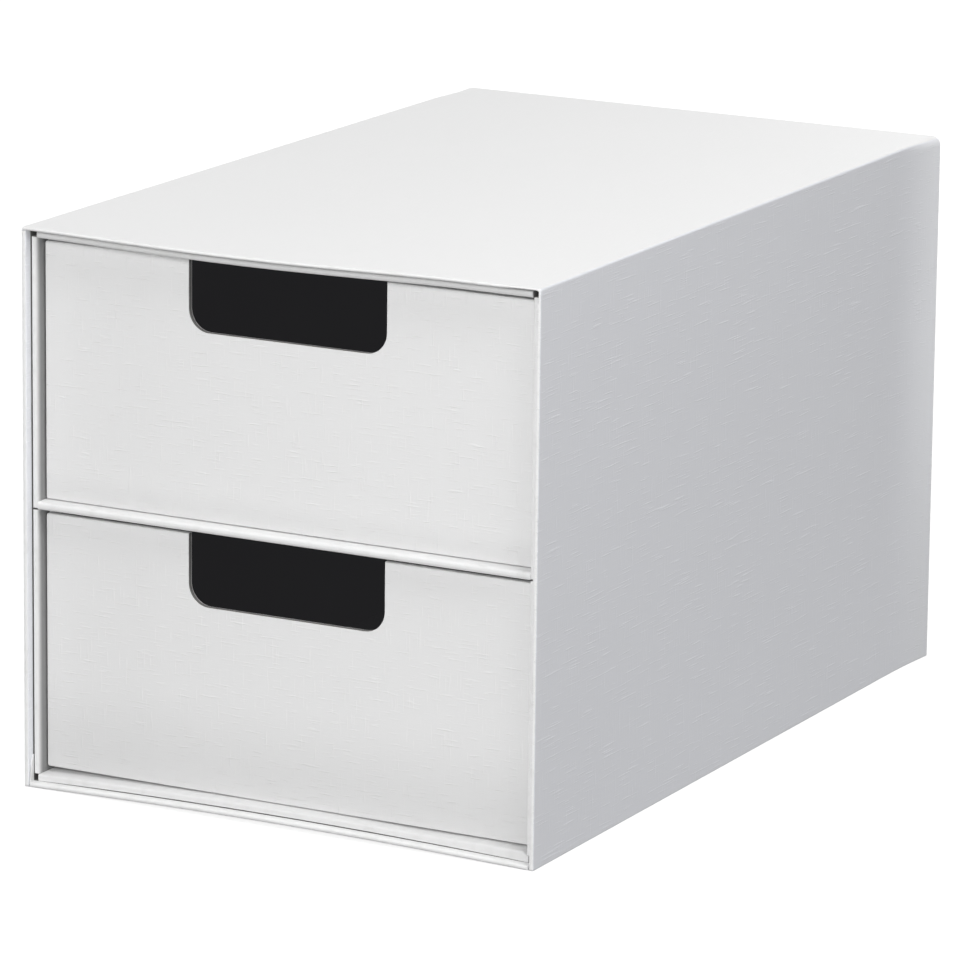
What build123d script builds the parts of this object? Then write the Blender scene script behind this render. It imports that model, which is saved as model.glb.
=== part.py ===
"""A mini chest of two drawers, made of paper-covered board.

The case is a wrap of four boards that paper folds join at the corners, a set of
liner boards glued inside it, a shelf between the drawers and a shallow tray that
closes the back. Each drawer is an open box with a grip notch in its front board.

Frame: X to the right, Y to the back, Z up, millimetres. The origin is under the
middle of the case, on the surface that it stands on. The drawers face -Y.
"""
from build123d import *
import os

# The drawer, which the case is built around
drawer_width = 219.4
drawer_height = 104.5
drawer_length = 352.7
front_board = 2.5
side_board = 2.0
back_board = 2.0
floor_board = 2.0
lining_paper = 0.4
lining_drop = 1.5
front_corner = 1.8
front_round = 0.7
rim_round = 0.7

# The grip notch, open at the top of the front board
grip_width = 88.0
grip_depth = 29.0
grip_corner = 9.0

# The boards of the case
wrap_board = 2.0
fold_skin = 0.8
liner_board = 2.8
shelf_board = 3.2
rear_board = 2.5
rear_flange = 37.0
wrap_round = 0.9
fold_round = 0.3
liner_round = 1.1
shelf_round = 1.3
floor_crown = 2.0

# Where the pieces lie behind the front edge of the wrap
liner_recess = 3.5
drawer_recess = 5.8
rear_inset = 1.5

# Clearances and laps
slide_gap = 0.2
side_gap = 0.5
lower_head_gap = 2.4
upper_head_gap = 1.9
rear_gap = 2.0
liner_lap = 0.5
liner_seat = 0.1
shelf_slit = 0.5
shelf_lip = 0.4
shelf_lip_recess = 4.0

# Levels, from the bottom up
floor_low = wrap_board
floor_end_top = floor_low + liner_board
lower_bottom = floor_end_top + floor_crown + slide_gap
shelf_low = lower_bottom + drawer_height + lower_head_gap
shelf_top = shelf_low + shelf_board
upper_bottom = shelf_top + slide_gap
ceiling_low = upper_bottom + drawer_height + upper_head_gap
ceiling_top = ceiling_low + liner_board
case_height = ceiling_top + wrap_board

# Places across, from the middle out
bay_half = drawer_width / 2 + side_gap
wrap_half = bay_half + liner_board
case_half = wrap_half + wrap_board

# Places from the front edge to the back
front_start = liner_recess + drawer_recess
drawer_end = front_start + drawer_length
rear_start = drawer_end + rear_gap
rear_end = rear_start + rear_board
case_depth = rear_end + rear_inset
liner_end = case_depth - rear_flange


def section(back):
    """Upright plane that faces the front, this far behind the front edge."""
    return Plane.XZ.offset(case_depth / 2 - back)


def save(piece, label):
    """Name a finished piece and write its file."""
    piece.part.label = label
    export_step(piece.part, f"parts/{label}.step")


def long_edges(face):
    """The two longest edges of a board's end face."""
    return face.edges().sort_by(SortBy.LENGTH)[-2:]


def deep_board(label, left, right, low, high, start, end, nose=0.0, tail=0.0):
    """A flat board that runs from front to back, its end edges rounded by paper."""
    with BuildPart() as board:
        with BuildSketch(section(end)):
            with Locations(((left + right) / 2, (low + high) / 2)):
                Rectangle(right - left, high - low)
        extrude(amount=end - start)
        if nose > 0:
            fillet(long_edges(board.faces().sort_by(Axis.Y)[0]), nose)
        if tail > 0:
            fillet(long_edges(board.faces().sort_by(Axis.Y)[-1]), tail)
    save(board, label)


def corner_fold(label, centre_x, centre_z, start_angle):
    """The paper that bends round a corner of the wrap, between two boards."""
    with BuildPart() as fold:
        with BuildSketch(section(case_depth)):
            with BuildLine(section(case_depth)):
                outer = CenterArc((centre_x, centre_z), wrap_board, start_angle, 90)
                inner = CenterArc((centre_x, centre_z), wrap_board - fold_skin, start_angle, 90)
                Line(outer @ 0, inner @ 0)
                Line(outer @ 1, inner @ 1)
            make_face()
        extrude(amount=case_depth)
        for end in (0, -1):
            end_face = fold.faces().sort_by(Axis.Y)[end]
            fillet(end_face.edges().filter_by(GeomType.CIRCLE), fold_round)
    save(fold, label)


def floor_liner():
    """The bowed board under the lower drawer, which slides on its crown."""
    half = bay_half + liner_lap
    with BuildPart() as board:
        with BuildSketch(section(liner_end)):
            with BuildLine(section(liner_end)):
                under = ThreePointArc((-half, floor_low), (0, floor_low + floor_crown), (half, floor_low))
                over = ThreePointArc(
                    (-half, floor_end_top), (0, floor_end_top + floor_crown), (half, floor_end_top)
                )
                Line(under @ 0, over @ 0)
                Line(under @ 1, over @ 1)
            make_face()
        extrude(amount=liner_end - liner_recess)
        fillet(long_edges(board.faces().sort_by(Axis.Y)[0]), liner_round)
    save(board, "liner_bottom")


def shelf_between_drawers():
    """The shelf, with the lips of its cover paper that lie on the lower side liners."""
    lip_start = liner_recess + shelf_lip_recess
    with BuildPart() as shelf:
        with BuildSketch(section(rear_start)):
            with Locations((0, shelf_low + shelf_board / 2)):
                Rectangle(2 * bay_half, shelf_board)
        extrude(amount=rear_start - liner_recess)
        fillet(long_edges(shelf.faces().sort_by(Axis.Y)[0]), shelf_round)
        with BuildSketch(section(liner_end)):
            with Locations((0, shelf_low + shelf_lip / 2)):
                Rectangle(2 * wrap_half, shelf_lip)
        extrude(amount=liner_end - lip_start)
    save(shelf, "shelf")


def drawer(name, bottom):
    """The six pieces of a drawer that stands on the given level."""
    half = drawer_width / 2
    inner_half = half - side_board
    top = bottom + drawer_height
    front_end = front_start + front_board
    back_start = drawer_end - back_board

    with BuildPart() as front:
        with BuildSketch(section(front_end)):
            with Locations((0, bottom + drawer_height / 2)):
                RectangleRounded(drawer_width, drawer_height, front_corner)
        extrude(amount=front_board)
        fillet(front.faces().sort_by(Axis.Y)[0].edges(), front_round)
        with BuildSketch(section(front_end)):
            with Locations((0, top)):
                RectangleRounded(grip_width, 2 * grip_depth, grip_corner)
        extrude(amount=front_board, mode=Mode.SUBTRACT)
    save(front, f"{name}_front")

    for side, left, right in (("left", -half, -inner_half), ("right", inner_half, half)):
        with BuildPart() as wall:
            with BuildSketch(section(back_start)):
                with Locations(((left + right) / 2, bottom + drawer_height / 2)):
                    Rectangle(side_board, drawer_height)
            extrude(amount=back_start - front_end)
            fillet(wall.faces().sort_by(Axis.Z)[-1].edges().filter_by(Axis.Y), rim_round)
        save(wall, f"{name}_{side}_side")

    with BuildPart() as back:
        with BuildSketch(section(drawer_end)):
            with Locations((0, bottom + drawer_height / 2)):
                RectangleRounded(drawer_width, drawer_height, front_corner)
        extrude(amount=back_board)
        fillet(back.faces().sort_by(Axis.Y)[-1].edges(), rim_round)
    save(back, f"{name}_back")

    with BuildPart() as floor:
        with BuildSketch(section(back_start)):
            with Locations((0, bottom + floor_board / 2)):
                Rectangle(2 * inner_half, floor_board)
        extrude(amount=back_start - front_end)
    save(floor, f"{name}_floor")

    with BuildPart() as lining:
        with BuildSketch(section(back_start)):
            with Locations((0, (bottom + floor_board + top - lining_drop) / 2)):
                Rectangle(2 * inner_half, drawer_height - floor_board - lining_drop)
        extrude(amount=back_start - front_end)
        offset(amount=-lining_paper, openings=lining.faces().sort_by(Axis.Z)[-1])
        with BuildSketch(section(front_end + lining_paper)):
            with Locations((0, top)):
                RectangleRounded(
                    grip_width + 2 * lining_drop, 2 * (grip_depth + lining_drop), grip_corner + lining_drop
                )
        extrude(amount=lining_paper, mode=Mode.SUBTRACT)
    save(lining, f"{name}_lining")


os.makedirs("parts", exist_ok=True)

# The wrap: four boards that stop short of the corners, and the folds between them
deep_board("outer_top", -wrap_half, wrap_half, ceiling_top, case_height, 0, case_depth, wrap_round, wrap_round)
deep_board("outer_bottom", -wrap_half, wrap_half, 0, wrap_board, 0, case_depth, wrap_round, wrap_round)
deep_board("outer_left", -case_half, -wrap_half, wrap_board, ceiling_top, 0, case_depth, wrap_round, wrap_round)
deep_board("outer_right", wrap_half, case_half, wrap_board, ceiling_top, 0, case_depth, wrap_round, wrap_round)
corner_fold("fold_top_right", wrap_half, ceiling_top, 0)
corner_fold("fold_top_left", -wrap_half, ceiling_top, 90)
corner_fold("fold_bottom_left", -wrap_half, wrap_board, 180)
corner_fold("fold_bottom_right", wrap_half, wrap_board, 270)

# The liner, glued inside the wrap behind its front edge
lap_half = bay_half + liner_lap
side_low = floor_end_top + liner_seat
upper_side_low = shelf_low + shelf_slit
deep_board("liner_top", -lap_half, lap_half, ceiling_low, ceiling_top, liner_recess, liner_end, liner_round)
floor_liner()
for side, left, right in (("left", -wrap_half, -bay_half), ("right", bay_half, wrap_half)):
    deep_board(f"liner_upper_{side}", left, right, upper_side_low, ceiling_low, liner_recess, liner_end, liner_round)
    deep_board(f"liner_lower_{side}", left, right, side_low, shelf_low, liner_recess, liner_end, liner_round)
shelf_between_drawers()

# The tray that closes the back: a panel, and four flanges in line with the liner
deep_board("back_panel", -wrap_half, wrap_half, wrap_board, ceiling_top, rear_start, rear_end)
deep_board("back_flange_top", -lap_half, lap_half, ceiling_low, ceiling_top, liner_end, rear_start)
deep_board("back_flange_bottom", -lap_half, lap_half, floor_low, floor_end_top, liner_end, rear_start)
for side, left, right in (("left", -wrap_half, -bay_half), ("right", bay_half, wrap_half)):
    deep_board(f"back_flange_{side}", left, right, floor_end_top, ceiling_low, liner_end, rear_start)

# The drawers
drawer("lower_drawer", lower_bottom)
drawer("upper_drawer", upper_bottom)
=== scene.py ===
"""Looks of the mini chest of two drawers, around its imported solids.

Frame: X to the right, Y to the back, Z up. The drawers face -Y. Shapes are worked out
in millimetres and their meshes are stored in metres.
"""
import math

import bmesh
import bpy
from mathutils import Matrix, Vector


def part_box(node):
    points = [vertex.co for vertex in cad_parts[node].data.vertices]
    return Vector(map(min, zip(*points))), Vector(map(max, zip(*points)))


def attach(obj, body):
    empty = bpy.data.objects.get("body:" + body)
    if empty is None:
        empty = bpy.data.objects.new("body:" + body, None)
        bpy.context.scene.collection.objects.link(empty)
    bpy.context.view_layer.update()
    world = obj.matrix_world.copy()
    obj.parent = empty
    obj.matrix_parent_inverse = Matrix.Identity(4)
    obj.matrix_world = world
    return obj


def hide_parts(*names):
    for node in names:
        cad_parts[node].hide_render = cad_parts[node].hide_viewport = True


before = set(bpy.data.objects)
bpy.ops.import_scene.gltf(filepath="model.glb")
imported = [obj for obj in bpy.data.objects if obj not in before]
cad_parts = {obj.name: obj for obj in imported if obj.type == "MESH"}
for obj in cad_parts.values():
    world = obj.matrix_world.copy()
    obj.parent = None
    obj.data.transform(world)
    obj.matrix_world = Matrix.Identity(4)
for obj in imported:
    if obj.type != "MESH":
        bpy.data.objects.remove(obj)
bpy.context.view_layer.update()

MM = 0.001
SHARP_ANGLE = math.radians(40)


def limits(node):
    """Left, right, front, back, low and high of a node, in millimetres."""
    low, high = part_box(node)
    return [1000 * v for v in (low.x, high.x, low.y, high.y, low.z, high.z)]


# The case's main levels, read from the solids that the pieces stand for
case_right = limits("outer_right")[1]
case_inside = limits("outer_right")[0]
case_front, case_back = limits("outer_top")[2:4]
case_top = limits("outer_top")[5]
ceiling = limits("outer_top")[4]
wrap_floor = limits("outer_bottom")[5]

bay_half = limits("liner_lower_right")[0]
liner_start = limits("liner_lower_right")[2]
ceiling_low = limits("liner_top")[4]
liner_thickness = limits("liner_top")[5] - ceiling_low
liner_half = limits("liner_bottom")[1]
liner_rise = limits("liner_bottom")[5] - limits("liner_bottom")[4] - liner_thickness

# How far the boards of the real chest stray from flat, in millimetres or as shares.
# A run is the length over which something grows or fades.

# The top sinks, most near one place and less towards the back
top_sag = 1.5
sag_middle = -20.0
sag_half = 100.0
sag_fading = 1.3

# The top board is pressed thinner along its front edge, most at the right
thin_lip = 0.55
lip_length = 14.0
right_thinning = 0.8
thinning_start = 96.0
thinning_run = 12.0
lip_end = 0.4
lip_end_run = 1.4

# The bottom board's middle rises, less towards the back
floor_rise = 1.7
rise_shape = 1.15
rise_fading = 0.6

# The side walls lean inwards and bow, and their last stretch flares out again
upper_lean = 2.6
lower_lean = 1.6
middle_bow = 1.7
end_lean = 0.5
left_share = 0.5
flare_length = 37.0
give_way = 0.55
top_lean_start = 90.0
top_lean_run = 23.0
top_blend = 2.0

# The upper corners are tight at the front and soft towards the back
soft_corner = 3.8
fold_radius = 1.1
softening_length = 34.0
softening_run = 30.0
softening = 0.85

# The right wall's edge is hollow below the top's front corner
hollow_end = 0.9
hollow_height = 4.4
hollow_rise = 1.2
hollow_depth = 4.0

# The liner boards are cut a little short or long, and stand a little apart from the walls
short_end = 0.8
short_left_end = 0.6
long_end = 0.5
tall_end = 0.5
liner_gap = 0.45
gap_length = 18.0

# The floor liner's upper face stays high to the right, and drops just inside the side liner
high_end = 1.2
high_start = 50.0
high_run = 55.0
drop_width = 1.6
drop_run = 1.5

# Rounded edges, and how far the cover paper is turned in: over the wrap's front and back
# edges, and over a liner's nose
wrap_round = 0.9
liner_round = 1.1
shelf_round = 1.35
cut_end = 0.05
paper_turn = 3.9
rear_turn = 6.0
nose_paper = 0.6

# The drawer fronts, whose feet stand a little above those of their solids
front_lift = 0.1
front_corner = 1.0
front_round = 0.6
front_paper = 0.34
half_grip = 44.0
grip_depth = 29.0
grip_corner = 9.0

# Limits of a section's corners, and how much closer its points stand towards them
LEAST_RADIUS = 0.02
MOST_RADIUS_SHARE = 0.96
CROWDING = 0.85


def smooth(t):
    """Smooth step from 0 to 1."""
    t = min(max(t, 0.0), 1.0)
    return t * t * (3 - 2 * t)


def depth_share(y):
    """0 at the case's front edge, 1 at its back edge."""
    return min(max((y - case_front) / (case_back - case_front), 0.0), 1.0)


def arch(x):
    """1 in the middle of the case, 0 at its sides."""
    return max(1 - (x / case_inside) ** 2, 0.0)


def sag(x, y):
    """How far the top sinks: most along the left half of its front edge."""
    across = max(1 - ((x - sag_middle) / sag_half) ** 2, 0.0) ** 2
    return top_sag * across * (1 - depth_share(y)) ** sag_fading


# Materials


def socket(tree, way, kind, name, value=None):
    """Adds a named socket to a node group."""
    made = tree.interface.new_socket(name, in_out=way, socket_type=f"NodeSocket{kind}")
    if value is not None:
        made.default_value = value


def node(tree, kind, inputs=None, **settings):
    """Adds a node, sets it, and links or sets its inputs."""
    made = tree.nodes.new(kind)
    for key, value in settings.items():
        setattr(made, key, value)
    for key, value in (inputs or {}).items():
        if isinstance(value, bpy.types.NodeSocket):
            tree.links.new(value, made.inputs[key])
        else:
            made.inputs[key].default_value = value
    return made


def maths(tree, operation, a, b, clamp=False):
    """The output of a Math node."""
    made = node(tree, "ShaderNodeMath", {0: a, 1: b}, operation=operation, use_clamp=clamp)
    return made.outputs[0]


def between(tree, value, low, high, kind="SMOOTHSTEP"):
    """How far a value has come from low to high, from 0 to 1."""
    span = {"Value": value, "From Min": low, "From Max": high}
    return node(tree, "ShaderNodeMapRange", span, interpolation_type=kind).outputs["Result"]


def stretched_noise(tree, vector, stretch, detail=1.0, roughness=0.5):
    """Noise drawn out along the axes where stretch is small."""
    drawn = node(tree, "ShaderNodeVectorMath", {0: vector, 1: stretch}, operation="MULTIPLY")
    return node(
        tree,
        "ShaderNodeTexNoise",
        {"Vector": drawn.outputs[0], "Scale": 1.0, "Detail": detail, "Roughness": roughness},
    ).outputs["Fac"]


def scaled(tree, vector, factor):
    """A vector or colour times a factor."""
    made = node(tree, "ShaderNodeVectorMath", {0: vector, "Scale": factor}, operation="SCALE")
    return made.outputs[0]


def mixed_colour(tree, share, first, second):
    """The output of a Mix node between two colours."""
    made = node(tree, "ShaderNodeMix", {"Factor": share}, data_type="RGBA")
    # A Mix node keeps a socket for each data type, so its colours are found by their type
    colours = [s for s in made.inputs if s.type == "RGBA"]
    tree.links.new(first, colours[0])
    tree.links.new(second, colours[1])
    return [s for s in made.outputs if s.type == "RGBA"][0]


def linen_group():
    """Emboss of short raised threads, long ones one way and fewer the other way."""
    tree = bpy.data.node_groups.new("linen_emboss", "ShaderNodeTree")
    socket(tree, "INPUT", "Vector", "Vector")
    socket(tree, "INPUT", "Vector", "Along", (90.0, 1900.0, 1900.0))
    socket(tree, "INPUT", "Vector", "Across", (1900.0, 1900.0, 110.0))
    socket(tree, "INPUT", "Float", "Cross share", 0.6)
    socket(tree, "INPUT", "Float", "Sparseness", 0.0)
    socket(tree, "OUTPUT", "Float", "Height")
    socket(tree, "OUTPUT", "Float", "Threads")
    given = node(tree, "NodeGroupInput").outputs
    out = node(tree, "NodeGroupOutput")
    # Levels of the noise where long and cross threads start to rise, and where they are full
    rising, full = (0.57, 0.60), (0.73, 0.74)
    detail, finer, ground_share, weave_share = 1.5, 2.2, 0.22, 0.2
    long_noise = stretched_noise(tree, given["Vector"], given["Along"], detail)
    cross_noise = stretched_noise(tree, given["Vector"], given["Across"], detail)
    fine = [
        stretched_noise(tree, given["Vector"], scaled(tree, given[way], finer))
        for way in ("Along", "Across")
    ]
    starts = [maths(tree, "ADD", given["Sparseness"], level) for level in rising]
    ends = [maths(tree, "ADD", given["Sparseness"], level) for level in full]
    long_threads = between(tree, long_noise, starts[0], ends[0])
    cross_threads = between(tree, cross_noise, starts[1], ends[1])
    cross_part = maths(tree, "MULTIPLY", cross_threads, given["Cross share"])
    threads = maths(tree, "ADD", long_threads, cross_part)
    ground = maths(tree, "MULTIPLY", maths(tree, "ADD", long_noise, cross_noise), ground_share)
    weave = maths(tree, "MULTIPLY", maths(tree, "ADD", *fine), weave_share)
    height = maths(tree, "ADD", maths(tree, "ADD", threads, ground), weave)
    tree.links.new(height, out.inputs["Height"])
    tree.links.new(threads, out.inputs["Threads"])
    return tree


def tone_group():
    """Slow mottling and fine fibres of a sheet of paper, as a colour and a roughness, with a
    painted highlight on its raised threads.
    """
    tree = bpy.data.node_groups.new("paper_tone", "ShaderNodeTree")
    socket(tree, "INPUT", "Vector", "Vector")
    socket(tree, "INPUT", "Color", "Color", (0.8, 0.8, 0.8, 1))
    socket(tree, "INPUT", "Float", "Mottle", 0.02)
    socket(tree, "INPUT", "Float", "Fibres", 0.02)
    socket(tree, "INPUT", "Float", "Raised", 0.0)
    socket(tree, "INPUT", "Float", "Lift", 0.0)
    socket(tree, "INPUT", "Float", "Roughness", 0.6)
    socket(tree, "OUTPUT", "Color", "Color")
    socket(tree, "OUTPUT", "Float", "Roughness")
    given = node(tree, "NodeGroupInput").outputs
    out = node(tree, "NodeGroupOutput")
    cloud_scale, fibre_scale, mean = (14.0,) * 3, (2600.0,) * 3, 0.5
    slow = stretched_noise(tree, given["Vector"], cloud_scale, 3.0)
    fine = stretched_noise(tree, given["Vector"], fibre_scale, 2.0)
    slow_shift = maths(tree, "MULTIPLY", maths(tree, "SUBTRACT", slow, mean), given["Mottle"])
    fine_shift = maths(tree, "MULTIPLY", maths(tree, "SUBTRACT", fine, mean), given["Fibres"])
    shift = maths(tree, "ADD", slow_shift, fine_shift)
    # Painted highlight: the raised threads are painted lighter, as if they caught the light
    highlighted = maths(tree, "MULTIPLY", given["Raised"], given["Lift"])
    gain = maths(tree, "ADD", maths(tree, "ADD", shift, highlighted), 1.0)
    tree.links.new(scaled(tree, given["Color"], gain), out.inputs["Color"])
    smoother = maths(tree, "MULTIPLY", shift, 2.0)
    rough = maths(tree, "SUBTRACT", given["Roughness"], smoother, clamp=True)
    tree.links.new(rough, out.inputs["Roughness"])
    return tree


def handling_group():
    """Rubbed paper along the folded edges: a little greyer in patches, and smoother."""
    tree = bpy.data.node_groups.new("rubbed_edge", "ShaderNodeTree")
    socket(tree, "INPUT", "Vector", "Vector")
    socket(tree, "INPUT", "Color", "Color", (0.8, 0.8, 0.8, 1))
    socket(tree, "INPUT", "Color", "Rubbed color", (0.7, 0.7, 0.69, 1))
    socket(tree, "INPUT", "Float", "Roughness", 0.6)
    socket(tree, "INPUT", "Float", "Edge", 0.0)
    socket(tree, "INPUT", "Float", "Amount", 0.3)
    socket(tree, "OUTPUT", "Color", "Color")
    socket(tree, "OUTPUT", "Float", "Roughness")
    given = node(tree, "NodeGroupInput").outputs
    out = node(tree, "NodeGroupOutput")
    patch_scale, patch_start, patch_full = (160.0,) * 3, 0.45, 0.7
    noise = stretched_noise(tree, given["Vector"], patch_scale, 4.0)
    patches = between(tree, noise, patch_start, patch_full)
    worn = maths(tree, "MULTIPLY", maths(tree, "MULTIPLY", patches, given["Edge"]), given["Amount"])
    colour = mixed_colour(tree, worn, given["Color"], given["Rubbed color"])
    tree.links.new(colour, out.inputs["Color"])
    smoother = maths(tree, "MULTIPLY", worn, 0.3)
    rough = maths(tree, "SUBTRACT", given["Roughness"], smoother, clamp=True)
    tree.links.new(rough, out.inputs["Roughness"])
    return tree


def fade_group():
    """Paper that turns to another colour, from one place along an axis to another."""
    tree = bpy.data.node_groups.new("paper_fade", "ShaderNodeTree")
    socket(tree, "INPUT", "Color", "Color", (0.8, 0.8, 0.8, 1))
    socket(tree, "INPUT", "Float", "Place", 0.0)
    socket(tree, "INPUT", "Float", "Start", 0.0)
    socket(tree, "INPUT", "Float", "End", 0.01)
    socket(tree, "INPUT", "Color", "Other color", (0.5, 0.5, 0.5, 1))
    socket(tree, "OUTPUT", "Color", "Color")
    given = node(tree, "NodeGroupInput").outputs
    out = node(tree, "NodeGroupOutput")
    turned = between(tree, given["Place"], given["Start"], given["End"])
    colour = mixed_colour(tree, turned, given["Color"], given["Other color"])
    tree.links.new(colour, out.inputs["Color"])
    return tree


LINEN = linen_group()
FADE = fade_group()
TONE = tone_group()
HANDLING = handling_group()


def grouped(tree, group, inputs):
    """Places a shader node group in a material."""
    return node(tree, "ShaderNodeGroup", inputs, node_tree=group)


def new_material(name):
    """A new material, its node tree, its shader and its object coordinates."""
    material = bpy.data.materials.new(name)
    material.use_nodes = True
    tree = material.node_tree
    shader = tree.nodes["Principled BSDF"]
    place = node(tree, "ShaderNodeTexCoord").outputs["Object"]
    return material, tree, shader, place


# Heights in metres between which a wall's swell comes to its full
SWELL_LEVELS = (0.01, 0.13)


def linen_paper(name, colour, threads, relief, sparseness=0.0, lift=0.0, ends=None, swell=None):
    """White paper embossed like linen, glued over board.

    threads: how the long and the cross threads are stretched, and the cross threads' share.
    ends: along which axis, from where to where it turns to another colour, and that colour.
    swell: from which depth to which the board under it curves outwards, and how many times the
    emboss's relief. It is full only well above the foot.
    """
    material, tree, shader, place = new_material(name)
    along = node(tree, "ShaderNodeSeparateXYZ", {0: place}).outputs
    emboss = grouped(
        tree,
        LINEN,
        {
            "Vector": place,
            "Along": threads[0],
            "Across": threads[1],
            "Cross share": threads[2],
            "Sparseness": sparseness,
        },
    )
    tone = grouped(
        tree,
        TONE,
        {
            "Vector": place,
            "Color": colour,
            "Mottle": 0.012,
            "Fibres": 0.02,
            # Painted highlight: lift paints the raised threads lighter
            "Raised": emboss.outputs["Threads"],
            "Lift": lift,
            "Roughness": 0.62,
        },
    )
    edge = node(tree, "ShaderNodeAttribute", attribute_name="edge", attribute_type="GEOMETRY")
    rubbed = grouped(
        tree,
        HANDLING,
        {
            "Vector": place,
            "Color": tone.outputs["Color"],
            "Rubbed color": (colour[0] * 0.9, colour[1] * 0.9, colour[2] * 0.89, 1),
            "Roughness": tone.outputs["Roughness"],
            "Edge": edge.outputs["Fac"],
            "Amount": 0.5,
        },
    )
    height = emboss.outputs["Height"]
    if swell:
        start, end, times = swell
        rise = between(tree, along["Y"], start, end, "LINEAR")
        fuller = between(tree, along["Z"], *SWELL_LEVELS)
        curve = maths(tree, "MULTIPLY", maths(tree, "POWER", rise, 2.0), fuller)
        height = maths(tree, "ADD", height, maths(tree, "MULTIPLY", curve, times))
    bump = node(tree, "ShaderNodeBump", {"Height": height, "Distance": relief, "Strength": 1.0})
    seen = rubbed
    if ends:
        axis, start, end, other = ends
        turning = {"Place": along[axis], "Start": start, "End": end, "Other color": other}
        seen = grouped(tree, FADE, {"Color": rubbed.outputs["Color"], **turning})
    tree.links.new(seen.outputs["Color"], shader.inputs["Base Color"])
    tree.links.new(rubbed.outputs["Roughness"], shader.inputs["Roughness"])
    tree.links.new(bump.outputs["Normal"], shader.inputs["Normal"])
    shader.inputs["Specular IOR Level"].default_value = 0.2
    return material


HAZE_COLOUR = (0.94, 0.93, 1, 1)


def plain_paper(name, colour, relief, roughness, specular, mottle, fibres, haze=0.0):
    """Paper or board with fibres but no emboss. haze is how strongly it glows."""
    material, tree, shader, place = new_material(name)
    look = {"Color": colour, "Mottle": mottle, "Fibres": fibres, "Roughness": roughness}
    tone = grouped(tree, TONE, {"Vector": place, **look})
    fibre_scale = (1400.0,) * 3
    fibre = stretched_noise(tree, place, fibre_scale, 4.0, 0.65)
    bump = node(tree, "ShaderNodeBump", {"Height": fibre, "Distance": relief, "Strength": 1.0})
    tree.links.new(tone.outputs["Color"], shader.inputs["Base Color"])
    tree.links.new(tone.outputs["Roughness"], shader.inputs["Roughness"])
    tree.links.new(bump.outputs["Normal"], shader.inputs["Normal"])
    shader.inputs["Specular IOR Level"].default_value = specular
    shader.inputs["Emission Color"].default_value = HAZE_COLOUR
    shader.inputs["Emission Strength"].default_value = haze
    return material


def grey(level):
    """An even grey."""
    return (level, level, level, 1)


WHITE = grey(0.84)
# Stretch of the long threads and of the cross threads, and the cross threads' share
DEEP_THREADS = ((1500.0, 62.0, 1500.0), (110.0, 1400.0, 110.0), 0.4)
BROAD_THREADS = ((115.0, 1300.0, 1300.0), (1300.0, 1300.0, 80.0), 0.75)
flare_start = case_back - flare_length
wrap_linen = linen_paper("wrap_linen", WHITE, DEEP_THREADS, 0.0001)
# The side walls' paper is tinted blue: painted colour of the cool light on the shaded sides. Over
# the rear flare it turns a little lighter and less blue: painted light of the front lamp there
wall_linen = linen_paper(
    "wall_linen", (0.865, 0.875, 0.91, 1), DEEP_THREADS, 0.00006, sparseness=0.015, lift=0.065,
    ends=("Y", flare_start * MM, (case_back + 2.0) * MM, (0.87, 0.88, 0.905, 1)),
    swell=(flare_start * MM, case_back * MM, 34.0),
)
top_linen = linen_paper("top_linen", WHITE, DEEP_THREADS, 0.00004, lift=0.01)
front_look = {"threads": BROAD_THREADS, "relief": 0.0001, "sparseness": 0.015, "lift": 0.05}
front_linen = linen_paper("front_linen", WHITE, **front_look)
# The paper of the drawer fronts is painted greyer towards the foot: painted shade above the ledge
# below each front
front_papers = {}
for drawer, shade_height in (("lower_drawer", 45.0), ("upper_drawer", 14.0)):
    foot = limits(f"{drawer}_front")[4]
    turning = ("Z", (foot + shade_height) * MM, foot * MM, grey(0.735))
    front_papers[drawer] = linen_paper(f"{drawer}_front_linen", WHITE, **front_look, ends=turning)
liner_linen = linen_paper("liner_linen", WHITE, DEEP_THREADS, 0.00005)
# The liner under the top is painted grey: painted shade under the top's front edge
ceiling_shaded_linen = linen_paper("ceiling_shaded_linen", grey(0.70), DEEP_THREADS, 0.00005)
# The side liners' inner faces turn grey behind the nose: painted shade of the recess in front of
# the drawer fronts
side_liner_shaded_linen = linen_paper(
    "side_liner_shaded_linen", WHITE, DEEP_THREADS, 0.00005,
    ends=("Y", (liner_start - 0.4) * MM, (liner_start + 3.6) * MM, grey(0.29)),
)
# The floor liner is painted grey: painted shade of its ledge under the lower drawer
floor_liner_shaded_linen = linen_paper("floor_liner_shaded_linen", grey(0.77), DEEP_THREADS, 0.00005)
# Colour, relief, roughness, specular level, mottle and fibres of each plain paper
drawer_white = plain_paper("drawer_white", (0.81, 0.81, 0.815, 1), 0.00002, 0.6, 0.3, 0.02, 0.03)
# The black lining glows faintly: painted light that lifts the black inside the drawers
lining_black = plain_paper(
    "lining_black", (0.03, 0.03, 0.032, 1), 0.00003, 0.75, 0.15, 0.25, 0.4, haze=0.014
)
core_grey = plain_paper("core_grey", (0.24, 0.235, 0.23, 1), 0.00008, 0.9, 0.1, 0.2, 0.5)
hinge_white = plain_paper("hinge_white", grey(0.82), 0.00002, 0.6, 0.3, 0.02, 0.03)


# Shapes


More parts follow.
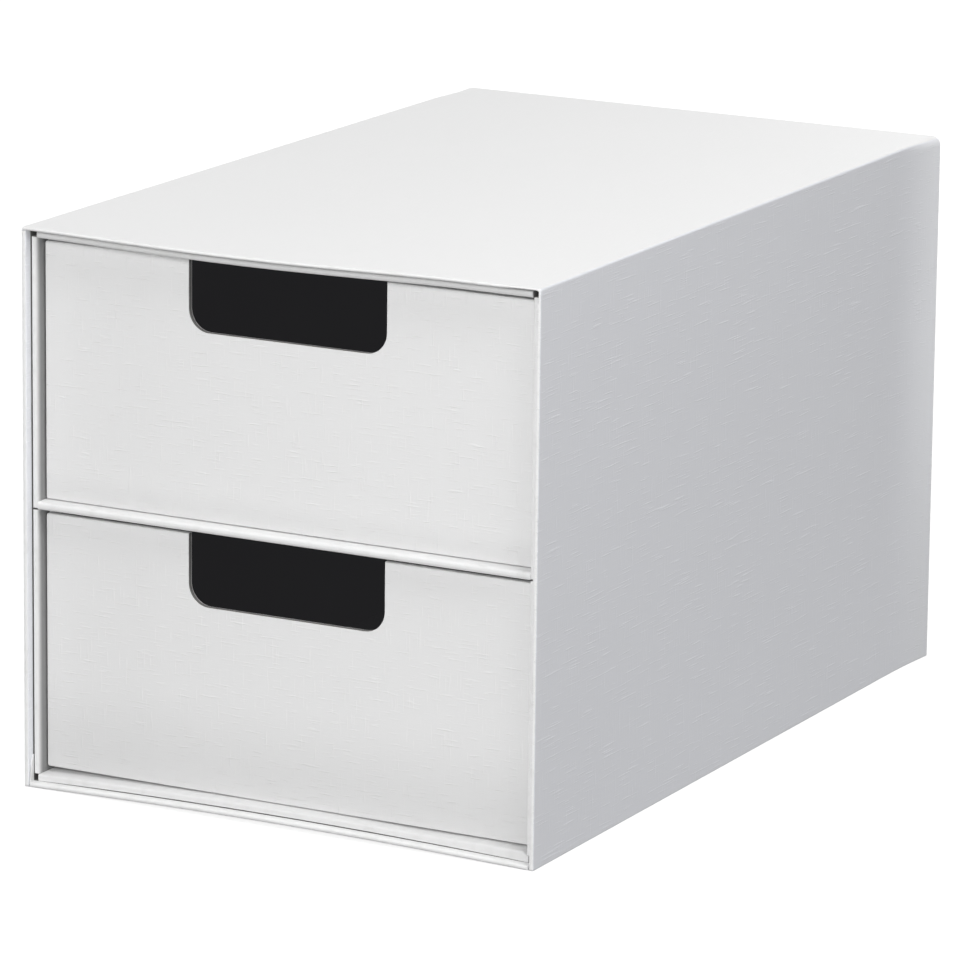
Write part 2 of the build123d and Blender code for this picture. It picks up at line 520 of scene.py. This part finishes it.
def section(left, right, low, high, radii, across, up, arc):
    """Rounded rectangle in the plane of the front, its points anticlockwise from the lower left."""
    corners = (
        (left, low, 1, 1, 180),
        (right, low, -1, 1, 270),
        (right, high, -1, -1, 0),
        (left, high, 1, -1, 90),
    )
    arcs = []
    for (x, z, into_x, into_z, start), radius in zip(corners, radii):
        radius = max(radius, LEAST_RADIUS)
        angles = [math.radians(start + 90 * i / arc) for i in range(arc + 1)]
        centre_x, centre_z = x + into_x * radius, z + into_z * radius
        arcs.append(
            [(centre_x + radius * math.cos(a), centre_z + radius * math.sin(a)) for a in angles]
        )
    points = []
    for i, steps in enumerate((across, up, across, up)):
        points += arcs[i]
        start, end = arcs[i][-1], arcs[(i + 1) % 4][0]
        for k in range(1, steps):
            t = k / steps - CROWDING * math.sin(2 * math.pi * k / steps) / (2 * math.pi)
            point = (start[0] + t * (end[0] - start[0]), start[1] + t * (end[1] - start[1]))
            points.append(point)
    return points


def stations(start, end, nose, tail, along, arc, cuts=()):
    """Places along a board, each with how far its section is drawn in by a rounded end."""
    turns = [math.radians(90 * i / arc) for i in range(arc)]
    front = [(start + nose * (1 - math.cos(a)), nose * (1 - math.sin(a))) for a in turns]
    back = [(end - tail * (1 - math.cos(a)), tail * (1 - math.sin(a))) for a in turns]
    straight = [start + nose + (end - tail - start - nose) * k / along for k in range(along + 1)]
    middle = [(y, 0.0) for y in sorted(straight + list(cuts))]
    return front + middle + back[::-1]


def shell(name, rings, edge, bend=None, fold=None):
    """A closed mesh through rings of points, each with its edge value.

    bend moves each point to its place. The end rings are filled in strips across the ring, from
    the point fold on, or with triangles where no fold is given.
    """
    shape = bmesh.new()
    mark = shape.verts.layers.float.new("edge")
    rows = []
    for ring, weight in zip(rings, edge):
        row = []
        for point in ring:
            vert = shape.verts.new(Vector(bend(*point) if bend else point) * MM)
            vert[mark] = weight
            row.append(vert)
        rows.append(row)
    count = len(rows[0])
    for front, back in zip(rows, rows[1:]):
        for i in range(count):
            j = (i + 1) % count
            shape.faces.new((front[i], back[i], back[j], front[j]))
    if fold is None:
        shape.faces.new(rows[0])
        shape.faces.new(rows[-1][::-1])
        shape.normal_update()
        bmesh.ops.triangulate(shape, faces=[f for f in shape.faces if len(f.verts) > 4])
    else:
        for k in range(count // 2 - 1):
            ends = (fold - k, fold + 1 + k, fold + 2 + k, fold - k - 1)
            patch = [i % count for i in ends]
            shape.faces.new([rows[0][i] for i in patch])
            shape.faces.new([rows[-1][i] for i in reversed(patch)])
    mesh = bpy.data.meshes.new(name)
    shape.to_mesh(mesh)
    shape.free()
    return mesh


def finish_piece(name, mesh, material, body, replaced):
    """Makes a mesh a finished piece: shading, materials, its body, and hides the nodes it replaces.
    """
    mesh.shade_smooth()
    mesh.set_sharp_from_angle(angle=SHARP_ANGLE)
    piece = bpy.data.objects.new(name, mesh)
    bpy.context.scene.collection.objects.link(piece)
    even = piece.modifiers.new("even_shading", "WEIGHTED_NORMAL")
    even.keep_sharp = True
    even.weight = 90
    view = bpy.context.evaluated_depsgraph_get()
    piece.data = bpy.data.meshes.new_from_object(
        piece.evaluated_get(view), preserve_all_data_layers=True, depsgraph=view
    )
    piece.modifiers.clear()
    piece.data.name = name
    for m in material if isinstance(material, (list, tuple)) else [material]:
        if m.name not in piece.data.materials:
            piece.data.materials.append(m)
    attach(piece, body)
    if replaced:
        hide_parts(*replaced)


def board_rings(box, radii, nose, tail, across, up, along, arc=5, tuck=(1, 1, 1, 1), cuts=()):
    """Rings of a board with rounded ends, their edge values, and where the end rings are folded.

    across, up, along and arc: how many steps there are each way and round each corner.
    tuck: how far the left, right, lower and upper side follow the rounded ends.
    cuts: depths where an extra ring lies.
    """
    left, right, front, back, low, high = box
    rings, edge = [], []
    for y, inset in stations(front, back, nose, tail, along, arc, cuts):
        start, end = left + tuck[0] * inset, right - tuck[1] * inset
        base, head = low + tuck[2] * inset, high - tuck[3] * inset
        most = MOST_RADIUS_SHARE * min(end - start, head - base)
        rounded = [min(max(r - inset, LEAST_RADIUS), most) for r in radii]
        outline = section(start, end, base, head, rounded, across, up, arc)
        rings.append([(x, y, z) for x, z in outline])
        edge.append(1.0 if inset > 0 else 0.0)
    fold = len(rings[0]) - 1 if across > up else arc
    return rings, edge, fold


def lean(y, z, is_right):
    """How far a side wall stands inside its plane: more towards the back, until it flares out."""
    upward = min(max(z / case_top, 0.0), 1.0)
    most = lower_lean + (upper_lean - lower_lean) * upward + middle_bow * 4 * upward * (1 - upward)
    before = min(max((y - case_front) / (flare_start - case_front), 0.0), 1.0)
    after = min(max((y - flare_start) / flare_length, 0.0), 1.0)
    inward = most * before - (most - end_lean * upward) * after ** 2
    return inward if is_right else inward * left_share


def fold_reach(across, up):
    """How far the fold's outer face lies from the middle of the soft corner, in one direction."""
    inner = soft_corner - fold_radius
    aside = inner * (across - up)
    if abs(aside) < fold_radius:
        reach = inner * (across + up) + math.sqrt(fold_radius ** 2 - aside ** 2)
        if reach * min(across, up) > inner:
            return reach
    return soft_corner / max(across, up)


def soften(x, y, z):
    """The upper corner grows softer towards the back."""
    centre_x, centre_z = case_right - soft_corner, case_top - soft_corner
    away_x, away_z = abs(x) - centre_x, z - centre_z
    if away_x <= 0 or away_z <= 0:
        return x, z
    length = math.hypot(away_x, away_z)
    softer = soft_corner / fold_reach(away_x / length, away_z / length) - 1
    scale = 1 + softer * smooth((y - case_back + softening_length) / softening_run) * softening
    return math.copysign(centre_x + away_x * scale, x), centre_z + away_z * scale


def wrap_bend(x, y, z):
    """Where a point of the outer wrap lies on the real chest, whose boards aren't flat."""
    is_top = smooth((z - ceiling + top_blend) / top_blend)
    outer = min(max((abs(x) - case_inside) / (case_right - case_inside), 0.0), 1.0)
    upper = smooth((abs(x) - top_lean_start) / top_lean_run)
    wall = give_way + (1 - give_way) * outer if abs(x) >= case_inside else 0.0
    weight = wall + (upper - wall) * is_top
    inward = weight * lean(y, z, x > 0)
    new_x, new_z = soften(x, y, z)
    new_z -= is_top * sag(x, y)
    # The top board is pressed thinner along its front edge
    under = min(max((case_top - z) / (case_top - ceiling), 0.0), 1.0)
    more = 1 + right_thinning * smooth((x - thinning_start) / thinning_run)
    thinner = thin_lip * more * (1 - smooth((abs(x) - case_inside - lip_end) / lip_end_run))
    new_z += is_top * thinner * under * (1 - smooth((y - case_front) / lip_length))
    if x > 0 and z < ceiling:
        # The right board stops short of the corner, where only its paper goes on
        near_top = smooth((z - ceiling + hollow_height) / hollow_rise)
        near_front = 1 - smooth((y - case_front - hollow_depth) / hollow_depth)
        new_x += hollow_end * (near_top * near_front) * (1 - outer) * (x >= case_inside)
    if z < wrap_floor + 0.1 and abs(x) < case_inside:
        new_z += floor_rise * arch(x) ** rise_shape * (1 - rise_fading * depth_share(y))
    return new_x - math.copysign(inward, x), y, new_z


def side_bend(x, y, z):
    """A side liner gives way where the wall outside it leans in."""
    outer = min(max((abs(x) - bay_half) / (case_inside - bay_half), 0.0), 1.0)
    loose = liner_gap * (1 - smooth((y - liner_start) / gap_length))
    return math.copysign(abs(x) - outer * (lean(y, z, x > 0) * give_way + loose), x), y, z


def ceiling_bend(x, y, z):
    """The liner under the top sinks with it."""
    return x, y, z - sag(x, y)


def floor_bend(x, y, z):
    """The floor liner is bowed upwards, as its solid is. Its upper face stays high to the right."""
    bow = liner_rise * max(1 - (x / liner_half) ** 2, 0.0)
    upper = (z - wrap_floor) / liner_thickness
    dropped = smooth((x - bay_half + drop_width) / drop_run)
    right_part = smooth((x - high_start) / high_run) * (1 - dropped)
    return x, y, z + bow + high_end * right_part * upper


def bare(mesh, facing, start, end=1000.0):
    """Shows the bare core on faces that look one way, from one depth to another."""
    for face in mesh.polygons:
        if face.normal.dot(Vector(facing)) > 0.8 and start < face.center.y / MM < end:
            face.material_index = 1


left, right, front, back = -case_right, case_right, case_front, case_back
turned_in = case_front + paper_turn
wrap_boards = {
    # Box, corner radii, tuck, steps across and up, the way its inner face looks, paper, nodes
    "wrap_top": (
        (left, right, front, back, ceiling, case_top), (0, 0, fold_radius, fold_radius),
        (1, 1, 1, 1), (64, 1), (0, 0, -1), top_linen,
        ("outer_top", "fold_top_left", "fold_top_right"),
    ),
    "wrap_left": (
        (left, -case_inside, front, back, 0, ceiling), (0.5, 0, 0, 0), (1, 1, 1, 0.25),
        (1, 64), (1, 0, 0), wall_linen, ("outer_left", "fold_bottom_left"),
    ),
    "wrap_right": (
        (case_inside, right, front, back, 0, ceiling), (0, 0.5, 0, 0), (1, 1, 1, 0.25),
        (1, 64), (-1, 0, 0), wall_linen, ("outer_right", "fold_bottom_right"),
    ),
    "wrap_bottom": (
        (-case_inside + 0.2, case_inside - 0.35, front, back, 0, wrap_floor), (0.4,) * 4,
        (1, 1, 1, 1), (48, 1), (0, 0, 1), wrap_linen, ("outer_bottom",),
    ),
}
for name, (box, radii, tuck, (across, up), inwards, paper, nodes) in wrap_boards.items():
    rings, edge, fold = board_rings(
        box, radii, wrap_round, wrap_round, across, up, 60, tuck=tuck, cuts=(turned_in,)
    )
    mesh = shell(name, rings, edge, wrap_bend, fold)
    bare(mesh, inwards, turned_in, case_back - rear_turn)
    papers = [paper, core_grey]
    if name != "wrap_bottom":
        # The walls' paper, with its painted cool tint, covers the top's ends, and the walls' front
        # edges are plain white
        is_top = name == "wrap_top"
        papers.append(wall_linen if is_top else wrap_linen)
        for face in mesh.polygons:
            if abs(face.normal.x) > 0.6 if is_top else face.normal.y < -0.5:
                face.material_index = 2
    finish_piece(name, mesh, papers, "case", nodes)

# The liner boards, each with a rounded front edge and softly rounded ends
bare_start = limits("liner_top")[2] + nose_paper
flat_liners = {
    # How far the left and the right end move, how far the underside is tucked, bend, paper
    "liner_top": (short_left_end, -short_end, 1.0, ceiling_bend, ceiling_shaded_linen),
    "liner_bottom": (0.0, long_end, 0.3, floor_bend, floor_liner_shaded_linen),
}
for name, (left_shift, right_shift, under, bend, paper) in flat_liners.items():
    box = limits(name)
    box[0] += left_shift
    box[1] += right_shift
    box[5] = box[4] + liner_thickness
    rings, edge, fold = board_rings(
        box, (0.3,) * 4, liner_round, cut_end, 48, 1, 40, tuck=(0.4, 0.4, under, 1)
    )
    mesh = shell(name, rings, edge, bend, fold)
    for way in (-1, 1):
        bare(mesh, (way, 0, 0), bare_start)
    finish_piece(f"{name}_board", mesh, (paper, core_grey), "case", (name,))
for name in ("liner_upper_left", "liner_upper_right", "liner_lower_left", "liner_lower_right"):
    box = limits(name)
    box[5] += tall_end if "upper" in name else 0.0
    rings, edge, fold = board_rings(
        box, (0.25,) * 4, liner_round, cut_end, 1, 20, 40, tuck=(1, 1, 0.4, 0.4)
    )
    mesh = shell(name, rings, edge, side_bend, fold)
    for way in (-1, 1):
        bare(mesh, (0, 0, way), bare_start)
    papers = (side_liner_shaded_linen, core_grey)
    finish_piece(f"{name}_board", mesh, papers, "case", (name,))
for name in ("back_flange_left", "back_flange_right"):
    rings, edge, fold = board_rings(limits(name), (cut_end,) * 4, cut_end, cut_end, 1, 20, 12)
    mesh = shell(name, rings, edge, side_bend, fold)
    finish_piece(f"{name}_board", mesh, liner_linen, "case", (name,))

# The shelf, with the lips of its paper in the slits between the side liners
shelf_left, shelf_right, shelf_front, shelf_back, shelf_low, shelf_high = limits("shelf")
lip_high = limits("liner_upper_left")[4] - 0.1
shelf_half = bay_half + 0.15
rings, edge, fold = board_rings(
    (-shelf_half, shelf_half, shelf_front, shelf_back, shelf_low, shelf_high),
    (0.15,) * 4, shelf_round, 0.1, 24, 1, 30, 7, tuck=(0.1, 0.1, 1, 1),
)
shelf_mesh = shell("shelf_board", rings, edge, fold=fold)
finish_piece("shelf_board", shelf_mesh, liner_linen, "case", ("shelf",))
lip_front, lip_back = shelf_front + 4.0, limits("liner_top")[3]
for side, start, end in (("left", shelf_left, -bay_half), ("right", bay_half, shelf_right)):
    rings, edge, fold = board_rings(
        (start, end, lip_front, lip_back, shelf_low, lip_high),
        (0.1,) * 4, 0.15, cut_end, 2, 1, 12, 2,
    )
    lip_mesh = shell("shelf_lip", rings, edge, side_bend, fold)
    finish_piece(f"shelf_lip_{side}", lip_mesh, hinge_white, "case", ())


def corner_tab():
    """The end of the bottom board's paper, turned up inside the left wall.

    Its slanting edge stands off a little.
    """
    wall, low, rise = -case_inside, wrap_floor - 0.2, 11.0
    steps, slant, stand_off = 16, 3.1, 0.42
    rings = []
    for i in range(steps + 1):
        t = i / steps
        front = case_front + 0.5 + slant * t ** 1.6
        lift = stand_off * math.sin(math.pi * min(t + 0.25, 1.0))
        ring = [
            (wall + lift, front), (wall + lift + 0.2, front - 0.05),
            (wall + lift + 0.36, front + 0.1), (wall + 0.35, front + 0.6),
            (wall + 0.34, turned_in), (wall - 0.02, turned_in), (wall - 0.02, front + 0.6),
        ]
        rings.append([(x, y, low + rise * t) for x, y in ring])
    mesh = shell("corner_tab", rings, [1.0] * len(rings))
    shape = bmesh.new()
    shape.from_mesh(mesh)
    bmesh.ops.recalc_face_normals(shape, faces=shape.faces)
    shape.to_mesh(mesh)
    shape.free()
    finish_piece("corner_tab", mesh, liner_linen, "case", ())


corner_tab()


# The drawers


def grip_outline(left, right, low, high):
    """Anticlockwise outline of a front with its grip notch, and which runs are the notch's."""
    corner, grip_low = front_corner, high - grip_depth
    points, cut = [], []

    def turn(x, z, radius, start, sweep, steps, is_cut):
        for i in range(steps + 1):
            a = math.radians(start + sweep * i / steps)
            points.append((x + radius * math.cos(a), z + radius * math.sin(a)))
            cut.append(is_cut)

    turn(left + corner, low + corner, corner, 180, 90, 8, False)
    turn(right - corner, low + corner, corner, 270, 90, 8, False)
    turn(right - corner, high - corner, corner, 0, 90, 8, False)
    points.append((half_grip, high))
    cut.append(True)
    turn(half_grip - grip_corner, grip_low + grip_corner, grip_corner, 0, -90, 24, True)
    turn(-half_grip + grip_corner, grip_low + grip_corner, grip_corner, 270, -90, 24, True)
    points.append((-half_grip, high))
    cut.append(False)
    turn(left + corner, high - corner, corner, 90, 90, 8, False)
    return points, cut


def drawn_in(points, shares, inset):
    """The outline moved inwards, each run by its own share of the inset."""
    count, parallel = len(points), 1e-4
    normals = []
    for i in range(count):
        (x0, z0), (x1, z1) = points[i], points[(i + 1) % count]
        length = math.hypot(x1 - x0, z1 - z0)
        normals.append((-(z1 - z0) / length, (x1 - x0) / length))
    moved = []
    for i, (x, z) in enumerate(points):
        (ax, az), (bx, bz) = normals[i - 1], normals[i]
        da, db = shares[i - 1] * inset, shares[i] * inset
        cross = ax * bz - az * bx
        if abs(cross) < parallel:
            moved.append((x + ax * da, z + az * da))
        else:
            moved.append((x + (da * bz - db * az) / cross, z + (ax * db - bx * da) / cross))
    return moved


def drawer_front(drawer):
    """The front board of a drawer: rounded, paper-wrapped edges and a die-cut grip notch."""
    left, right, front, back, low, high = limits(f"{drawer}_front")
    low += front_lift
    points, cut = grip_outline(left, right, low, high)
    # The notch's die-cut edge is rounded less than the folded ones
    round_share = [0.4 if c else 1.0 for c in cut]
    # Depths of the rings, each with how far its outline is drawn in by the rounding
    levels = [(front, 1.6), (front, 1.0)]
    for i in range(1, 7):
        a = math.radians(15 * i)
        levels.append((front + front_round * (1 - math.cos(a)), 1 - math.sin(a)))
    levels += [(front + 1.35, 0.0), (back - front_paper, 0.0), (back - 0.1, 0.0), (back, 0.12)]
    rings = []
    for y, share in levels:
        rings.append([(x, y, z) for x, z in drawn_in(points, round_share, share * front_round)])
    edge = [1.0 if 0 < share < 1.2 else 0.0 for y, share in levels]
    mesh = shell(f"{drawer}_front_board", rings, edge)
    # The core shows grey on the notch's edge, between the two sheets of paper
    reach = 0.5
    for face in mesh.polygons:
        x, y, z = (v / MM for v in face.center)
        in_notch = abs(x) < half_grip + reach and z > high - grip_depth - reach
        is_core = front + front_paper < y < back - front_paper
        if abs(face.normal.y) < 0.5 and in_notch and is_core:
            face.material_index = 1
    papers = (front_papers[drawer], core_grey)
    finish_piece(f"{drawer}_front_board", mesh, papers, drawer, (f"{drawer}_front",))


def binding_tree():
    """Geometry Nodes: a soft-edged strip of paper that follows the rim line of a drawer."""
    tree = bpy.data.node_groups.new("rim_binding", "GeometryNodeTree")
    socket(tree, "INPUT", "Geometry", "Rim line")
    socket(tree, "INPUT", "Float", "Strip width", 0.0024)
    socket(tree, "INPUT", "Float", "Strip height", 0.0016)
    socket(tree, "INPUT", "Float", "Edge round", 0.0005)
    socket(tree, "INPUT", "Float", "Corner round", 0.0015)
    socket(tree, "INPUT", "Material", "Paper")
    socket(tree, "OUTPUT", "Geometry", "Binding")
    given = node(tree, "NodeGroupInput").outputs
    out = node(tree, "NodeGroupOutput")
    line = node(tree, "GeometryNodeMeshToCurve", {"Mesh": given["Rim line"]}).outputs["Curve"]
    turned = node(
        tree,
        "GeometryNodeFilletCurve",
        {"Curve": line, "Count": 6, "Radius": given["Corner round"]},
        mode="POLY",
    ).outputs["Curve"]
    upright = node(
        tree, "GeometryNodeSetCurveNormal", {"Curve": turned}, mode="Z_UP"
    ).outputs["Curve"]
    strip = node(
        tree,
        "GeometryNodeCurvePrimitiveQuadrilateral",
        {"Width": given["Strip width"], "Height": given["Strip height"]},
    ).outputs["Curve"]
    soft = node(
        tree,
        "GeometryNodeFilletCurve",
        {"Curve": strip, "Count": 4, "Radius": given["Edge round"]},
        mode="POLY",
    ).outputs["Curve"]
    swept = node(
        tree,
        "GeometryNodeCurveToMesh",
        {"Curve": upright, "Profile Curve": soft, "Fill Caps": True},
    ).outputs["Mesh"]
    real = node(tree, "GeometryNodeRealizeInstances", {"Geometry": swept}).outputs["Geometry"]
    made = node(tree, "GeometryNodeSetMaterial", {"Geometry": real, "Material": given["Paper"]})
    tree.links.new(made.outputs["Geometry"], out.inputs["Binding"])
    return tree


BINDING = binding_tree()


def rim_binding(drawer):
    """The paper strip folded over the rim of a drawer's sides and back."""
    side, back = limits(f"{drawer}_right_side"), limits(f"{drawer}_back")
    across, rear = (side[0] + side[1]) / 2, (back[2] + back[3]) / 2
    start, height = side[2] + 0.1, side[5] - 0.62
    line = [(-across, start), (-across, rear), (across, rear), (across, start)]
    mesh = bpy.data.meshes.new(f"{drawer}_rim_line")
    mesh.from_pydata([(x * MM, y * MM, height * MM) for x, y in line], [(0, 1), (1, 2), (2, 3)], [])
    rim = bpy.data.objects.new(f"{drawer}_rim_line", mesh)
    bpy.context.scene.collection.objects.link(rim)
    sweep = rim.modifiers.new("rim_binding", "NODES")
    sweep.node_group = BINDING
    sizes = {"Strip width": 2.36 * MM, "Strip height": 1.6 * MM, "Paper": drawer_white}
    for item in BINDING.interface.items_tree:
        if item.name in sizes:
            sweep[item.identifier] = sizes[item.name]
    view = bpy.context.evaluated_depsgraph_get()
    made = bpy.data.meshes.new_from_object(rim.evaluated_get(view), depsgraph=view)
    rim.modifiers.clear()
    bpy.data.objects.remove(rim)
    finish_piece(f"{drawer}_rim_binding", made, drawer_white, drawer, ())


for drawer in ("lower_drawer", "upper_drawer"):
    drawer_front(drawer)
    rim_binding(drawer)


def repaint(node_name, material):
    """Gives a carried-over node its finished material."""
    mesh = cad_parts[node_name].data
    mesh.materials.clear()
    mesh.materials.append(material)


for drawer in ("lower_drawer", "upper_drawer"):
    for part in ("left_side", "right_side", "back", "floor"):
        repaint(f"{drawer}_{part}", drawer_white)
    repaint(f"{drawer}_lining", lining_black)
repaint("back_panel", front_linen)
for part in ("back_flange_top", "back_flange_bottom"):
    repaint(part, liner_linen)


# Floor, lights and camera


def seen_directly(tree):
    """1 for camera, glossy and transmission rays."""
    path = node(tree, "ShaderNodeLightPath").outputs
    either = maths(tree, "MAXIMUM", path["Is Camera Ray"], path["Is Glossy Ray"])
    return maths(tree, "MAXIMUM", either, path["Is Transmission Ray"])


def studio_floor():
    """A pale floor that looks white and keeps a faint shadow."""
    material = bpy.data.materials.new("studio_floor")
    material.use_nodes = True
    tree = material.node_tree
    tree.nodes.clear()
    bounce = node(tree, "ShaderNodeBsdfDiffuse", {"Color": grey(0.32)})
    shade = node(tree, "ShaderNodeBsdfDiffuse", {"Color": grey(0.28)})
    glow = node(tree, "ShaderNodeEmission", {"Color": (1, 1, 1, 1), "Strength": 0.84})
    white = node(tree, "ShaderNodeAddShader", {0: shade.outputs[0], 1: glow.outputs[0]})
    choice = {0: seen_directly(tree), 1: bounce.outputs[0], 2: white.outputs[0]}
    mixed = node(tree, "ShaderNodeMixShader", choice)
    node(tree, "ShaderNodeOutputMaterial", {"Surface": mixed.outputs[0]})
    mesh = bpy.data.meshes.new("studio_floor")
    reach = 9.0
    corners = [(-reach, -reach, 0), (reach, -reach, 0), (reach, reach, 0), (-reach, reach, 0)]
    mesh.from_pydata(corners, [], [(0, 1, 2, 3)])
    mesh.materials.append(material)
    floor = bpy.data.objects.new("studio_floor", mesh)
    bpy.context.scene.collection.objects.link(floor)


def studio_world():
    """Even light from all round, white where the camera sees it."""
    world = bpy.data.worlds.new("studio_world")
    bpy.context.scene.world = world
    world.use_nodes = True
    tree = world.node_tree
    tree.nodes.clear()
    light = node(tree, "ShaderNodeBackground", {"Color": (1, 1, 1, 1), "Strength": 0.045})
    white = node(tree, "ShaderNodeBackground", {"Color": (1, 1, 1, 1), "Strength": 1.0})
    choice = {0: seen_directly(tree), 1: light.outputs[0], 2: white.outputs[0]}
    mixed = node(tree, "ShaderNodeMixShader", choice)
    node(tree, "ShaderNodeOutputWorld", {"Surface": mixed.outputs[0]})


def soft_lamp(name, place, width, height, power):
    """A rectangular softbox aimed at the middle of the chest."""
    lamp = bpy.data.lights.new(name, "AREA")
    lamp.shape = "RECTANGLE"
    lamp.size, lamp.size_y = width, height
    lamp.energy = power
    holder = bpy.data.objects.new(name, lamp)
    holder.location = place
    aim = Vector((0, 0, 0.12))
    holder.rotation_euler = (aim - Vector(place)).to_track_quat("-Z", "Y").to_euler()
    bpy.context.scene.collection.objects.link(holder)


def camera():
    """The photograph's camera, fitted to the seven corners of the case that it shows."""
    photo_width, focal_pixels = 960, 6352.7
    azimuth, elevation, rolled = 28.015, 13.591, 0.663
    place = (1.1920, -2.2550, 0.7188)
    lens = bpy.data.cameras.new("camera")
    lens.sensor_width = 36.0
    lens.lens = lens.sensor_width * focal_pixels / photo_width
    lens.clip_start, lens.clip_end = 0.1, 50
    holder = bpy.data.objects.new("camera", lens)
    turn = Matrix.Rotation(math.radians(azimuth), 4, "Z")
    tilt = Matrix.Rotation(math.radians(90 - elevation), 4, "X")
    roll = Matrix.Rotation(math.radians(rolled), 4, "Z")
    holder.matrix_world = Matrix.Translation(place) @ turn @ tilt @ roll
    bpy.context.scene.collection.objects.link(holder)
    bpy.context.scene.camera = holder


studio_floor()
studio_world()
# Place, width and height in metres, power in watts
soft_lamp("front_softbox", (0.42, -2.38, 1.06), 1.0, 1.0, 40)
soft_lamp("upper_right_softbox", (1.56, -0.58, 2.11), 1.4, 1.4, 38)
soft_lamp("top_softbox", (0.0, -0.6, 2.6), 1.6, 1.6, 4)
soft_lamp("left_softbox", (-2.74, 0.0, 0.7), 1.4, 1.4, 48)
soft_lamp("rear_softbox", (-0.15, 2.7, 0.85), 1.4, 0.9, 40)
camera()
bpy.context.scene.view_settings.view_transform = "Standard"
